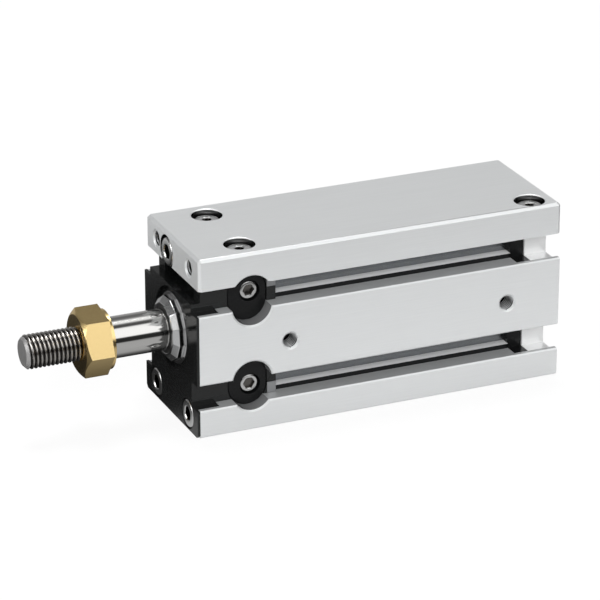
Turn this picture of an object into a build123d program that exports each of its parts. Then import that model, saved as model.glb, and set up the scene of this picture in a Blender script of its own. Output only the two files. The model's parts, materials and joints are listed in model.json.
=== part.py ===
from build123d import *
import os

# Compact pneumatic cylinder with a slotted body, a bolted top plate and a threaded rod end.
# All sizes are in millimetres. X runs along the rod, which leaves the body towards -X.
# Z is up. The origin is the centre of the body's bottom face.

# Body section, from the bottom up
body_width = 40.0
bottom_bar_height = 8.3
slot_height = 7.6
middle_bar_height = 21.0
plate_thickness = 9.5
slot_depth = 5.8
groove_depth = 9.0
groove_ledge = 1.35
bar_chamfer = 0.4

# Bore, rod and stroke
bore = 25.0
bore_wall = 1.6
rod_diameter = 12.0
stroke = 50.0
rod_projection = 45.4
rod_thread_diameter = 10.0
rod_thread_length = 25.2
rod_pitch_diameter = 9.2
rod_tip_chamfer = 1.1
rod_shoulder_chamfer = 0.5

# Clearances
running_clearance = 0.05
fitting_clearance = 0.1
seal_clearance = 0.03
relief = 0.3

# Front cover. Distances along the rod are measured from the body's front face.
cover_flange = 0.8
cover_seat_depth = 6.5
cover_top_height = 2.5
cover_corner_chamfer = 0.9
end_rim = 1.6
arm_depth = 4.4
arm_end = 25.0
arm_thickness = 6.4
prong_start = 2.0
prong_width = 4.4
crown_start = 5.5

# Crown of the front cover, which keys into the top plate
crown_key_start = 9.6
crown_key_length = 12.0
crown_key_height = 3.0
crown_key_edge = 5.7
tongue_length = 8.4
tongue_radius = 3.3

# Side locks of the front cover
lock_station = 16.2
lock_drop = 1.25
lock_width = 12.0
lock_height = 15.0
lock_pocket_depth = 5.3
lock_pocket_chamfer = 0.5
lock_boss_diameter = 7.2
lock_boss_depth = 8.0
lock_rim_chamfer = 0.3
tab_height = 4.1
slot_nut_length = 12.6
slot_nut_height = 5.4
slot_nut_thickness = 1.7
slot_nut_nose_gap = 0.1

# Rod gland in the front cover
nose_sides = 12
nose_head_overhang = 1.1
nose_turn = 12.0
nose_front = 3.2
nose_head = 3.1
nose_bevel_length = 1.4
nose_bevel_width = 1.6
nose_mouth_gap = 0.1
nose_lip = 0.8
nose_sleeve_diameter = 17.0
nose_sleeve_wall = 0.5
nose_sleeve_length = 7.6
nose_recess_gap = 1.7
nose_recess_depth = 1.5
nose_ring_width = 2.0
wiper_length = 3.0
wiper_lip_wall = 0.9
wiper_lip_length = 0.6
bush_wall = 1.0
bush_start = 8.0
bush_length = 10.0
rod_seal_width = 3.0
rod_seal_start = 18.4
rod_seal_length = 4.0

# Rear cover and rear block
rear_cover_thickness = 4.4
rear_cover_neck_depth = 6.4
rear_block_thickness = 7.1
rear_block_neck_depth = 5.7
rear_setback = 1.7
rear_spigot_length = 1.9
rear_key_length = 6.0
rear_key_height = 3.0
rear_key_edge = 2.8

# O-rings of the two covers
front_ring_section = 2.0
front_ring_station = 14.3
rear_ring_section = 1.2

# Piston
piston_front_length = 7.4
piston_rear_length = 7.3
piston_land_diameter = 24.4
piston_hub_diameter = 14.9
magnet_length = 5.0
magnet_outer = 22.4
magnet_inner = 15.0
guide_ring_inner = 22.5
bumper_length = 1.5
bumper_outer = 22.0
bumper_inner = 13.0
end_gap = 0.1
piston_seal_width = 3.2
piston_seal_root = 19.0
piston_seal_inset = 2.0
rod_spigot_diameter = 8.0
inner_ring_section = 1.0
inner_ring_inset = 5.5
piston_bolt_head = 8.5
piston_bolt_head_height = 5.0
piston_bolt_shank = 5.0
piston_bolt_length = 10.0
piston_bolt_socket = 4.0

# Rod lock nut
nut_across_flats = 17.6
nut_height = 7.8
nut_turn = 8.2
nut_washer_height = 1.0
nut_washer_diameter = 17.4
nut_face_radius = 8.4
nut_chamfer_length = 1.3
nut_chamfer_rise = 2.25
nut_gap = 0.2

# Air ports, tapped mounting holes and feet
front_port_setback = 2.8
rear_port_setback = 3.6
port_drop = 1.0
port_diameter = 4.3
port_depth = 5.5
port_passage_diameter = 2.5
port_countersink = 5.6
plate_end_hole_edge = 7.8
plate_end_hole_drop = 4.9
plate_end_hole_diameter = 4.3
plate_end_hole_depth = 9.0
plate_end_countersink = 5.4
foot_hole_spacing_x = 60.0
foot_hole_edge = 7.9
foot_hole_diameter = 4.3
foot_hole_depth = 6.3
countersink_angle = 90.0

# Top plate and its screws
plate_chamfer = 0.8
plate_screw_station = 15.5
plate_screw_edge = 7.9
rear_plate_screw_setback = 5.6
rear_plate_screw_edge = 5.6
plate_screw_seat = 5.4
plate_counterbore_diameter = 9.0
plate_counterbore_chamfer = 0.25
plate_screw_shank = 4.0
plate_screw_length = 5.0
plate_screw_head = 7.4
plate_screw_head_height = 2.8
plate_screw_socket = 2.5
end_screw_offset = 4.3
end_screw_drop = 6.1
end_counterbore_diameter = 10.0
end_screw_head = 8.5
end_screw_head_height = 5.0
end_screw_shank = 5.0
end_screw_length = 12.0
end_screw_socket = 4.0

# Front cover screws
cover_screw_edge = 7.9
cover_screw_height = 4.7
cover_screw_head = 8.5
cover_screw_head_height = 5.0
cover_screw_counterbore = 9.0
cover_screw_shank = 5.0
cover_screw_length = 12.0
cover_screw_socket = 4.0

# Side lock screws
side_screw_station = 17.0
side_screw_head = 5.6
side_screw_head_height = 2.0
side_screw_face_depth = 5.0
side_screw_shank = 3.0
side_screw_length = 3.6
side_screw_socket = 3.0
side_counterbore = 6.2

# Rear screws
rear_screw_half_width = 14.0
rear_screw_half_height = 7.0
rear_screw_head = 5.5
rear_screw_head_height = 3.0
rear_screw_counterbore = 6.0
rear_screw_shank = 3.0
rear_screw_length = 12.0
rear_screw_socket = 2.5

# Depth of each hex socket for one millimetre of head height
socket_depth_ratio = 0.6

# Places worked out from the sizes above
half_width = body_width / 2
middle_low_z = bottom_bar_height + slot_height
middle_high_z = middle_low_z + middle_bar_height
neck_top_z = middle_high_z + slot_height
top_z = neck_top_z + plate_thickness
axis_z = middle_low_z + middle_bar_height / 2
slot_offset = (middle_bar_height + slot_height) / 2
lock_offset = slot_offset - lock_drop
piston_length = piston_front_length + magnet_length + piston_rear_length
chamber_length = stroke + piston_length + 2 * (bumper_length + end_gap)
chamber_end = arm_end + chamber_length
rear_cover_start = chamber_end + rear_spigot_length
rear_cover_end = rear_cover_start + rear_cover_thickness
rear_block_end = rear_cover_end + rear_block_thickness
body_length = rear_block_end + rear_setback
front_x = -body_length / 2
piston_end = chamber_end - end_gap - bumper_length
piston_start = piston_end - piston_length
magnet_start = piston_start + piston_front_length
magnet_end = magnet_start + magnet_length
cover_top_z = middle_high_z + cover_top_height
end_bar_width = body_width - 2 * end_rim - 2 * fitting_clearance
arm_face = half_width - arm_depth
arm_inner = arm_face - arm_thickness
groove_height = slot_height - 2 * groove_ledge
crown_key_end = crown_key_start + crown_key_length
crown_key_y = half_width - crown_key_edge
rear_key_y = half_width - rear_key_edge
tongue_end = crown_key_start + tongue_length
lock_end = lock_station + lock_width / 2
nose_across_corners = nose_sleeve_diameter + 2 * nose_head_overhang
nose_ring_diameter = nose_sleeve_diameter + 2 * nose_ring_width
nose_recess_diameter = nose_ring_diameter + 2 * nose_recess_gap
wiper_diameter = nose_sleeve_diameter - 2 * nose_sleeve_wall
wiper_lip_diameter = rod_diameter + 2 * wiper_lip_wall
nose_mouth_diameter = wiper_lip_diameter + 2 * nose_mouth_gap
bush_diameter = rod_diameter + 2 * bush_wall
rod_seal_diameter = rod_diameter + 2 * rod_seal_width
nose_recess_floor = nose_recess_depth - cover_flange
nose_head_back = nose_head - nose_front
nose_sleeve_end = nose_head_back + nose_sleeve_length
wiper_start = nose_lip - nose_front
bush_end = bush_start + bush_length
rod_shoulder = rod_thread_length - rod_projection
nut_back = rod_shoulder - nut_gap
nut_washer_start = nut_back - nut_washer_height
nut_front = nut_washer_start - nut_height
rear_plate_screw_station = rear_cover_start + rear_plate_screw_setback
rear_key_start = rear_plate_screw_station - rear_key_length / 2
rear_screw_seat = rear_block_end - rear_screw_head_height
end_screw_z = top_z - end_screw_drop
plate_seat_z = neck_top_z + plate_screw_seat
sides = (-1, 1)
levels = (-1, 1)

# Centres of the holes and screws, each pair in its own plane
cover_screw_y = half_width - cover_screw_edge
cover_screw_spots = [(side * cover_screw_y, cover_screw_height) for side in sides]
plate_screw_y = half_width - plate_screw_edge
front_plate_spots = [(front_x + plate_screw_station, side * plate_screw_y) for side in sides]
rear_plate_spots = [(front_x + rear_plate_screw_station, rear_plate_screw_edge - half_width)]
end_screw_spots = [(end_screw_offset, end_screw_z)]
plate_end_hole_y = half_width - plate_end_hole_edge
plate_end_spots = [(side * plate_end_hole_y, top_z - plate_end_hole_drop) for side in sides]
side_screw_spots = [(front_x + side_screw_station, axis_z + level * slot_offset) for level in levels]
port_spots = [
    (front_x + arm_end + front_port_setback, axis_z - port_drop),
    (front_x + rear_cover_start - rear_port_setback, axis_z - port_drop),
]
rear_screw_spots = [
    (side * rear_screw_half_width, axis_z + level * rear_screw_half_height)
    for side in sides
    for level in levels
]


def section_plane(distance):
    """Plane across the rod, a given distance behind the body's front face."""
    return Plane.YZ.offset(front_x + distance)


def side_plane(side, depth):
    """Plane along the near (-1) or far (1) side, at a given depth under its face."""
    return Plane.XZ.offset(-side * (half_width - depth))


def turned(start, length, radius, mode=Mode.ADD):
    """One round step on the rod's axis."""
    with BuildSketch(section_plane(start)) as disc:
        with Locations((0, axis_z)):
            Circle(radius)
    extrude(disc.sketch, amount=length, mode=mode)


def ring(start, length, outer_radius, inner_radius):
    """Plain ring on the rod's axis."""
    turned(start, length, outer_radius)
    turned(start, length, inner_radius, Mode.SUBTRACT)


def o_ring(station, centre_radius, section):
    """Round-section sealing ring on the rod's axis."""
    with BuildSketch(Plane.XZ) as round_section:
        with Locations((front_x + station, axis_z + centre_radius)):
            Circle(section / 2)
    revolve(round_section.sketch, axis=Axis((0, 0, axis_z), (1, 0, 0)))


def groove(station, width, outer_radius, root_radius):
    """Ring-shaped cut round a turned piece, centred on a station."""
    with BuildSketch(section_plane(station - width / 2)) as cut:
        with Locations((0, axis_z)):
            Circle(outer_radius)
            Circle(root_radius, mode=Mode.SUBTRACT)
    extrude(cut.sketch, amount=width, mode=Mode.SUBTRACT)


def band(start, end, inner_y, outer_y, low_z, high_z, mode=Mode.ADD):
    """Straight length along the rod with a plain section between given sides and levels."""
    with BuildSketch(section_plane(start)) as section:
        with Locations(((inner_y + outer_y) / 2, (low_z + high_z) / 2)):
            Rectangle(abs(outer_y - inner_y), abs(high_z - low_z))
    extrude(section.sketch, amount=end - start, mode=mode)


def bars_and_necks(bar_width, neck_width, high_z):
    """Bars joined by narrower necks, as both covers follow the body's section."""
    with Locations((0, high_z / 2)):
        Rectangle(neck_width, high_z)
    with Locations((0, bottom_bar_height / 2)):
        Rectangle(bar_width, bottom_bar_height)
    with Locations((0, axis_z)):
        Rectangle(bar_width, middle_bar_height)


def bore_holes(plane, spots, diameter, amount):
    """Round holes from a plane."""
    with BuildSketch(plane) as holes:
        with Locations(*spots):
            Circle(diameter / 2)
    extrude(holes.sketch, amount=amount, mode=Mode.SUBTRACT)


def lock_pocket(side, level):
    """Upright rounded pocket with a chamfered mouth, that a side lock drops into."""
    centre = (front_x + lock_station, axis_z + level * lock_offset)
    with BuildSketch(side_plane(side, 0)) as outline:
        with Locations(centre):
            SlotOverall(lock_height, lock_width, rotation=90)
    extrude(outline.sketch, amount=side * lock_pocket_depth, mode=Mode.SUBTRACT)
    wider = 2 * lock_pocket_chamfer
    with BuildSketch(side_plane(side, 0)) as mouth:
        with Locations(centre):
            SlotOverall(lock_height + wider, lock_width + wider, rotation=90)
    extrude(mouth.sketch, amount=side * lock_pocket_chamfer, taper=45, mode=Mode.SUBTRACT)


def screws(plane, spots, out, head, head_height, shank, length, socket):
    """Socket head screws that seat on a plane, with their heads out along its normal or against it."""
    with BuildSketch(plane) as heads:
        with Locations(*spots):
            Circle(head / 2)
    extrude(heads.sketch, amount=out * head_height)
    with BuildSketch(plane) as shanks:
        with Locations(*spots):
            Circle(shank / 2)
    extrude(shanks.sketch, amount=-out * length)
    with BuildSketch(plane.offset(out * head_height)) as sockets:
        with Locations(*spots):
            RegularPolygon(socket / 2, 6, major_radius=False)
    extrude(sockets.sketch, amount=-out * head_height * socket_depth_ratio, mode=Mode.SUBTRACT)


def save(builder, name):
    """Labels a finished piece and writes it as its own STEP file."""
    builder.part.label = name
    export_step(builder.part, f"parts/{name}.step")


os.makedirs("parts", exist_ok=True)

# Body: one extrusion with two bars, two necks and a T-shaped slot in each side of each neck
with BuildPart() as body_profile:
    with BuildSketch(section_plane(0)) as body_section:
        with Locations((0, neck_top_z / 2)):
            Rectangle(body_width, neck_top_z)
        for side in sides:
            for level in levels:
                slot_z = axis_z + level * slot_offset
                with Locations((side * (half_width - slot_depth / 2), slot_z)):
                    Rectangle(slot_depth, slot_height, mode=Mode.SUBTRACT)
                with Locations((side * (half_width - groove_depth / 2), slot_z)):
                    Rectangle(groove_depth, groove_height, mode=Mode.SUBTRACT)
        side_corners = body_section.vertices().group_by(Axis.X)
        chamfer(side_corners[0] + side_corners[-1], bar_chamfer)
        with Locations((0, axis_z)):
            Circle(bore / 2, mode=Mode.SUBTRACT)
    extrude(amount=body_length)

    # Seats of the two covers, which leave thin rims at the sides
    rim_y = half_width - end_rim
    front_seat_end = cover_seat_depth + fitting_clearance
    band(0, front_seat_end, -rim_y, rim_y, 0, neck_top_z, Mode.SUBTRACT)
    band(rear_cover_start, body_length, -rim_y, rim_y, 0, neck_top_z, Mode.SUBTRACT)

    # Upper neck cut down to the wall of the bore, for the front cover's crown
    neck_y = half_width - slot_depth
    arm_room_end = arm_end + fitting_clearance
    with BuildSketch(section_plane(0)) as crown_room:
        with Locations((0, neck_top_z - slot_height / 2)):
            Rectangle(2 * neck_y, slot_height)
        with Locations((0, axis_z)):
            Circle(bore / 2 + bore_wall, mode=Mode.SUBTRACT)
    extrude(crown_room.sketch, amount=arm_room_end, mode=Mode.SUBTRACT)

    # Room beside the lower neck for the two lower arms
    for side in sides:
        band(
            0,
            arm_room_end,
            side * (arm_inner - fitting_clearance),
            side * neck_y,
            bottom_bar_height,
            middle_low_z,
            Mode.SUBTRACT,
        )

    # Pockets of the side locks
    for side in sides:
        for level in levels:
            lock_pocket(side, level)

    # Air ports: tapped mouth, then a narrow passage into the bore
    with Locations(side_plane(-1, 0)):
        with Locations(*port_spots):
            CounterSinkHole(port_diameter / 2, port_countersink / 2, port_depth, countersink_angle)
    bore_holes(side_plane(-1, 0), port_spots, port_passage_diameter, -half_width)

    # Seat of the rear cover's O-ring at the mouth of the bore
    rear_ring_outer = bore / 2 - running_clearance + rear_ring_section + 2 * seal_clearance
    turned(
        rear_cover_start,
        -rear_ring_section - 2 * seal_clearance,
        rear_ring_outer + seal_clearance,
        Mode.SUBTRACT,
    )

    # Tapped holes of the cover screws, the rear screws and the feet
    bore_holes(
        section_plane(0),
        cover_screw_spots,
        cover_screw_shank + 2 * running_clearance,
        cover_screw_head_height - cover_flange + cover_screw_length + relief,
    )
    bore_holes(
        section_plane(rear_cover_start),
        rear_screw_spots,
        rear_screw_shank + 2 * running_clearance,
        rear_screw_seat - rear_cover_start - rear_screw_length - relief,
    )
    with BuildSketch(Plane.XY) as foot_holes:
        with GridLocations(foot_hole_spacing_x, body_width - 2 * foot_hole_edge, 2, 2):
            Circle(foot_hole_diameter / 2)
    extrude(foot_holes.sketch, amount=foot_hole_depth, mode=Mode.SUBTRACT)
save(body_profile, "body_profile")

# Front cover: flange over the end of the extrusion, seat between its rims and spigot in the bore
with BuildPart() as front_cover:
    with BuildSketch(section_plane(-cover_flange)) as flange_outline:
        bars_and_necks(body_width, 2 * arm_face, cover_top_z)
        chamfer(flange_outline.vertices().group_by(Axis.Y)[0], cover_corner_chamfer)
    extrude(flange_outline.sketch, amount=cover_flange)
    with BuildSketch(section_plane(0)) as seat_outline:
        bars_and_necks(end_bar_width, 2 * arm_face, cover_top_z)
    extrude(seat_outline.sketch, amount=cover_seat_depth)
    turned(cover_seat_depth, arm_end - cover_seat_depth, bore / 2 - running_clearance)

    # Crown above the seat, arched over the wall of the bore, with two prongs in front
    crown_low_z = middle_high_z + fitting_clearance
    crown_high_z = neck_top_z - fitting_clearance
    with BuildSketch(section_plane(crown_start)) as crown_outline:
        with Locations((0, (crown_low_z + crown_high_z) / 2)):
            Rectangle(2 * arm_face, crown_high_z - crown_low_z)
        with Locations((0, axis_z)):
            Circle(bore / 2 + bore_wall + fitting_clearance, mode=Mode.SUBTRACT)
    extrude(crown_outline.sketch, amount=arm_end - crown_start)
    band(crown_start, cover_seat_depth, -arm_face, arm_face, crown_low_z, crown_high_z)
    for side in sides:
        band(
            prong_start,
            cover_seat_depth,
            side * (arm_face - prong_width),
            side * arm_face,
            crown_low_z,
            crown_high_z,
        )

    # Two lower arms
    for side in sides:
        band(
            0,
            arm_end,
            side * arm_inner,
            side * arm_face,
            bottom_bar_height + fitting_clearance,
            middle_low_z - fitting_clearance,
        )

    # Key and tongue that rise into the top plate
    key_top_z = neck_top_z + crown_key_height
    band(crown_key_start, crown_key_end, -crown_key_y, crown_key_y, crown_high_z, key_top_z)
    with BuildSketch(section_plane(crown_key_start)) as tongue_outline:
        with Locations(*end_screw_spots):
            Circle(tongue_radius)
        with Locations((end_screw_offset, (neck_top_z + end_screw_z) / 2)):
            Rectangle(2 * tongue_radius, end_screw_z - neck_top_z)
    extrude(tongue_outline.sketch, amount=tongue_length)

    # Room for each side lock: its rounded pocket, its boss, its nut and the nut's nose
    for side in sides:
        for level in levels:
            lock_pocket(side, level)
            slot_z = axis_z + level * slot_offset
            middle_edge_z = slot_z - level * slot_height / 2
            outer_edge_z = slot_z + level * slot_height / 2
            boss_reach = lock_boss_diameter / 2 + fitting_clearance
            nut_front_y = half_width - lock_boss_depth
            nut_back_y = nut_front_y - slot_nut_thickness - 2 * fitting_clearance
            band(
                side_screw_station - boss_reach,
                side_screw_station + boss_reach,
                side * arm_face,
                side * nut_front_y,
                middle_edge_z,
                outer_edge_z,
                Mode.SUBTRACT,
            )
            band(
                arm_end - slot_nut_length - fitting_clearance,
                arm_end,
                side * nut_front_y,
                side * nut_back_y,
                slot_z - slot_nut_height / 2 - fitting_clearance,
                slot_z + slot_nut_height / 2 + fitting_clearance,
                Mode.SUBTRACT,
            )
            band(
                lock_end,
                arm_end,
                side * arm_face,
                side * nut_back_y,
                middle_edge_z + level * tab_height,
                outer_edge_z,
                Mode.SUBTRACT,
            )
        bore_holes(
            side_plane(side, lock_boss_depth),
            side_screw_spots,
            side_screw_shank + 2 * relief,
            side * (side_screw_length + relief),
        )

    # Rod gland, from the recess of the nose nut to the seal
    turned(-cover_flange, nose_recess_depth, nose_recess_diameter / 2, Mode.SUBTRACT)
    turned(
        -cover_flange,
        cover_flange + nose_sleeve_end + relief,
        nose_sleeve_diameter / 2 + running_clearance,
        Mode.SUBTRACT,
    )
    turned(0, bush_end, bush_diameter / 2 + running_clearance, Mode.SUBTRACT)
    turned(0, arm_end, rod_diameter / 2 + relief, Mode.SUBTRACT)
    groove(
        rod_seal_start + rod_seal_length / 2,
        rod_seal_length + 2 * running_clearance,
        rod_seal_diameter / 2 + running_clearance,
        rod_diameter / 2,
    )
    front_ring_outer = bore / 2 - seal_clearance
    groove(
        front_ring_station,
        front_ring_section + 2 * fitting_clearance,
        bore / 2,
        front_ring_outer - front_ring_section - seal_clearance,
    )

    # Holes of the cover screws, the plate screws and the plate's end screw
    bore_holes(
        section_plane(-cover_flange),
        cover_screw_spots,
        cover_screw_counterbore,
        cover_screw_head_height,
    )
    bore_holes(
        section_plane(0),
        cover_screw_spots,
        cover_screw_shank + 2 * running_clearance,
        cover_seat_depth,
    )
    bore_holes(
        Plane.XY.offset(neck_top_z + crown_key_height),
        front_plate_spots,
        plate_screw_shank + 2 * running_clearance,
        plate_screw_seat - plate_screw_length - crown_key_height - relief,
    )
    bore_holes(
        section_plane(crown_key_start),
        end_screw_spots,
        end_screw_shank + 2 * running_clearance,
        end_screw_head_height + end_screw_length + relief - crown_key_start,
    )
save(front_cover, "front_cover")

# Top plate with counterbored screws, two tapped end holes and pockets for the covers' keys
with BuildPart() as top_plate:
    with BuildSketch(Plane.XY.offset(neck_top_z)):
        Rectangle(body_length, body_width)
    extrude(amount=plate_thickness)
    chamfer(top_plate.edges().filter_by(Axis.Z), plate_chamfer)
    chamfer(top_plate.faces().sort_by(Axis.Z)[-1].outer_wire().edges(), plate_chamfer)
    for side in sides:
        for level in levels:
            lock_pocket(side, level)
    band(
        crown_key_start - fitting_clearance,
        crown_key_end + fitting_clearance,
        -crown_key_y - fitting_clearance,
        crown_key_y + fitting_clearance,
        neck_top_z,
        neck_top_z + crown_key_height + fitting_clearance,
        Mode.SUBTRACT,
    )
    with BuildSketch(section_plane(crown_key_start - fitting_clearance)) as tongue_room:
        with Locations(*end_screw_spots):
            Circle(tongue_radius + fitting_clearance)
        with Locations((end_screw_offset, (neck_top_z + end_screw_z) / 2)):
            Rectangle(2 * tongue_radius + 2 * fitting_clearance, end_screw_z - neck_top_z)
    extrude(tongue_room.sketch, amount=tongue_length + 2 * fitting_clearance, mode=Mode.SUBTRACT)
    band(
        rear_key_start - fitting_clearance,
        rear_key_start + rear_key_length + fitting_clearance,
        -rear_key_y - fitting_clearance,
        rear_key_y + fitting_clearance,
        neck_top_z,
        neck_top_z + rear_key_height + fitting_clearance,
        Mode.SUBTRACT,
    )
    bore_holes(
        Plane.XY.offset(neck_top_z),
        front_plate_spots + rear_plate_spots,
        plate_screw_shank + 2 * running_clearance,
        plate_thickness,
    )
    bore_holes(
        Plane.XY.offset(plate_seat_z),
        front_plate_spots + rear_plate_spots,
        plate_counterbore_diameter,
        plate_thickness - plate_screw_seat,
    )
    plate_top = top_plate.faces().sort_by(Axis.Z)[-1]
    chamfer(plate_top.inner_wires().edges(), plate_counterbore_chamfer)
    with Locations(Plane((front_x, 0, 0), x_dir=(0, 1, 0), z_dir=(-1, 0, 0))):
        with Locations(*[(y, -z) for y, z in plate_end_spots]):
            CounterSinkHole(
                plate_end_hole_diameter / 2,
                plate_end_countersink / 2,
                plate_end_hole_depth,
                countersink_angle,
            )
    bore_holes(section_plane(0), end_screw_spots, end_counterbore_diameter, end_screw_head_height)
    bore_holes(
        section_plane(0),
        end_screw_spots,
        end_screw_shank + 2 * running_clearance,
        crown_key_start,
    )
save(top_plate, "top_plate")

# Screws of the plate and the covers
with BuildPart() as plate_screws:
    screws(
        Plane.XY.offset(plate_seat_z),
        front_plate_spots + rear_plate_spots,
        1,
        plate_screw_head,
        plate_screw_head_height,
        plate_screw_shank,
        plate_screw_length,
        plate_screw_socket,
    )
save(plate_screws, "plate_screws")

with BuildPart() as plate_end_screw:
    screws(
        section_plane(end_screw_head_height),
        end_screw_spots,
        -1,
        end_screw_head,
        end_screw_head_height,
        end_screw_shank,
        end_screw_length,
        end_screw_socket,
    )
save(plate_end_screw, "plate_end_screw")

with BuildPart() as front_cover_screws:
    screws(
        section_plane(cover_screw_head_height - cover_flange),
        cover_screw_spots,
        -1,
        cover_screw_head,
        cover_screw_head_height,
        cover_screw_shank,
        cover_screw_length,
        cover_screw_socket,
    )
save(front_cover_screws, "front_cover_screws")

with BuildPart() as rear_screws:
    screws(
        section_plane(rear_screw_seat),
        rear_screw_spots,
        1,
        rear_screw_head,
        rear_screw_head_height,
        rear_screw_shank,
        rear_screw_length,
        rear_screw_socket,
    )
save(rear_screws, "rear_screws")

side_screw_seat = side_screw_face_depth + side_screw_head_height
with BuildPart() as side_lock_screws:
    for side in sides:
        screws(
            side_plane(side, side_screw_seat),
            side_screw_spots,
            -side,
            side_screw_head,
            side_screw_head_height,
            side_screw_shank,
            side_screw_length,
            side_screw_socket,
        )
save(side_lock_screws, "side_lock_screws")

# Side lock discs: a rounded plate in the pocket and a round boss in the slot
with BuildPart() as side_lock_discs:
    for side in sides:
        for level in levels:
            with BuildSketch(side_plane(side, arm_depth)) as disc_outline:
                with Locations((front_x + lock_station, axis_z + level * lock_offset)):
                    SlotOverall(
                        lock_height - 2 * fitting_clearance,
                        lock_width - 2 * fitting_clearance,
                        rotation=90,
                    )
            extrude(disc_outline.sketch, amount=side * (lock_pocket_depth - arm_depth))
        disc_faces = side_lock_discs.faces().filter_by(Axis.Y).sort_by(Axis.Y)
        outer_faces = disc_faces[-2:] if side > 0 else disc_faces[:2]
        chamfer([face.outer_wire().edges() for face in outer_faces], lock_rim_chamfer)
        with BuildSketch(side_plane(side, lock_pocket_depth)) as bosses:
            with Locations(*side_screw_spots):
                Circle(lock_boss_diameter / 2)
        extrude(bosses.sketch, amount=side * (lock_boss_depth - lock_pocket_depth))
        bore_holes(
            side_plane(side, arm_depth),
            side_screw_spots,
            side_counterbore,
            side * (side_screw_seat - arm_depth),
        )
        bore_holes(
            side_plane(side, arm_depth),
            side_screw_spots,
            side_screw_shank + 2 * fitting_clearance,
            side * (lock_boss_depth - arm_depth),
        )
save(side_lock_discs, "side_lock_discs")

# Slot nuts: a flat bar behind each disc, with a nose that fills the slot beside the arm's tab
with BuildPart() as slot_nuts:
    for side in sides:
        for level in levels:
            slot_z = axis_z + level * slot_offset
            middle_edge_z = slot_z - level * slot_height / 2
            outer_edge_z = slot_z + level * slot_height / 2
            bar_front_y = half_width - lock_boss_depth - fitting_clearance
            band(
                arm_end - slot_nut_length,
                arm_end,
                side * bar_front_y,
                side * (bar_front_y - slot_nut_thickness),
                slot_z - slot_nut_height / 2,
                slot_z + slot_nut_height / 2,
            )
            band(
                lock_end + slot_nut_nose_gap,
                arm_end,
                side * arm_face,
                side * (bar_front_y - slot_nut_thickness),
                middle_edge_z + level * (tab_height + fitting_clearance),
                outer_edge_z - level * fitting_clearance,
            )
        bore_holes(
            side_plane(side, lock_boss_depth),
            side_screw_spots,
            side_screw_shank + 2 * running_clearance,
            side * (slot_nut_thickness + 2 * fitting_clearance),
        )
save(slot_nuts, "slot_nuts")

# Rear cover with its short spigot in the bore
with BuildPart() as rear_cover:
    with BuildSketch(section_plane(rear_cover_start)) as rear_outline:
        rear_neck_width = body_width - 2 * rear_cover_neck_depth
        bars_and_necks(end_bar_width, rear_neck_width, neck_top_z - fitting_clearance)
    extrude(rear_outline.sketch, amount=rear_cover_thickness)
    turned(chamber_end, rear_spigot_length, bore / 2 - running_clearance)
    bore_holes(
        section_plane(rear_cover_start),
        rear_screw_spots,
        rear_screw_shank + 2 * fitting_clearance,
        rear_cover_thickness,
    )
save(rear_cover, "rear_cover")

# Rear block behind the cover, with a key in the top plate
with BuildPart() as rear_block:
    with BuildSketch(section_plane(rear_cover_end)) as block_outline:
        block_neck_width = body_width - 2 * rear_block_neck_depth
        bars_and_necks(end_bar_width, block_neck_width, neck_top_z - fitting_clearance)
    extrude(block_outline.sketch, amount=rear_block_thickness)
    band(
        rear_key_start,
        rear_key_start + rear_key_length,
        -rear_key_y,
        rear_key_y,
        neck_top_z - fitting_clearance,
        neck_top_z + rear_key_height,
    )
    bore_holes(
        section_plane(rear_cover_end),
        rear_screw_spots,
        rear_screw_shank + 2 * fitting_clearance,
        rear_block_thickness,
    )
    bore_holes(
        section_plane(rear_screw_seat),
        rear_screw_spots,
        rear_screw_counterbore,
        rear_screw_head_height,
    )
    bore_holes(
        Plane.XY.offset(neck_top_z + rear_key_height),
        rear_plate_spots,
        plate_screw_shank + 2 * running_clearance,
        plate_screw_seat - plate_screw_length - rear_key_height - relief,
    )
save(rear_block, "rear_block")

# O-rings of the two covers
with BuildPart() as front_cover_seal:
    o_ring(front_ring_station, front_ring_outer - front_ring_section / 2, front_ring_section)
save(front_cover_seal, "front_cover_seal")

with BuildPart() as rear_cover_seal:
    o_ring(
        rear_cover_start - seal_clearance - rear_ring_section / 2,
        rear_ring_outer - rear_ring_section / 2,
        rear_ring_section,
    )
save(rear_cover_seal, "rear_cover_seal")

# Nose nut: many-sided head, bevelled in front, on a sleeve in the front cover
with BuildPart() as nose_nut:
    with BuildSketch(section_plane(-nose_front)) as nose_outline:
        with Locations((0, axis_z)):
            RegularPolygon(nose_across_corners / 2, nose_sides, rotation=nose_turn)
    extrude(nose_outline.sketch, amount=nose_head)
    nose_face = nose_nut.faces().sort_by(Axis.X)[0]
    chamfer(nose_face.outer_wire().edges(), nose_bevel_width, nose_bevel_length, reference=nose_face)
    turned(nose_head_back, nose_sleeve_length, nose_sleeve_diameter / 2)
    turned(-nose_front, nose_lip, nose_mouth_diameter / 2, Mode.SUBTRACT)
    turned(wiper_start, wiper_length, wiper_diameter / 2 + seal_clearance, Mode.SUBTRACT)
    turned(-nose_front, nose_front + nose_sleeve_end, rod_diameter / 2 + relief, Mode.SUBTRACT)
save(nose_nut, "nose_nut")

with BuildPart() as nose_ring:
    ring(
        nose_head_back,
        nose_recess_floor - nose_head_back,
        nose_ring_diameter / 2,
        nose_sleeve_diameter / 2 + running_clearance,
    )
save(nose_ring, "nose_ring")

with BuildPart() as rod_wiper:
    turned(wiper_start, wiper_length, wiper_diameter / 2)
    turned(wiper_start - wiper_lip_length, wiper_lip_length, wiper_lip_diameter / 2)
    turned(
        wiper_start - wiper_lip_length,
        wiper_lip_length + wiper_length,
        rod_diameter / 2 + seal_clearance,
        Mode.SUBTRACT,
    )
save(rod_wiper, "rod_wiper")

with BuildPart() as rod_bush:
    ring(bush_start, bush_length, bush_diameter / 2, rod_diameter / 2 + running_clearance)
save(rod_bush, "rod_bush")

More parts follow.
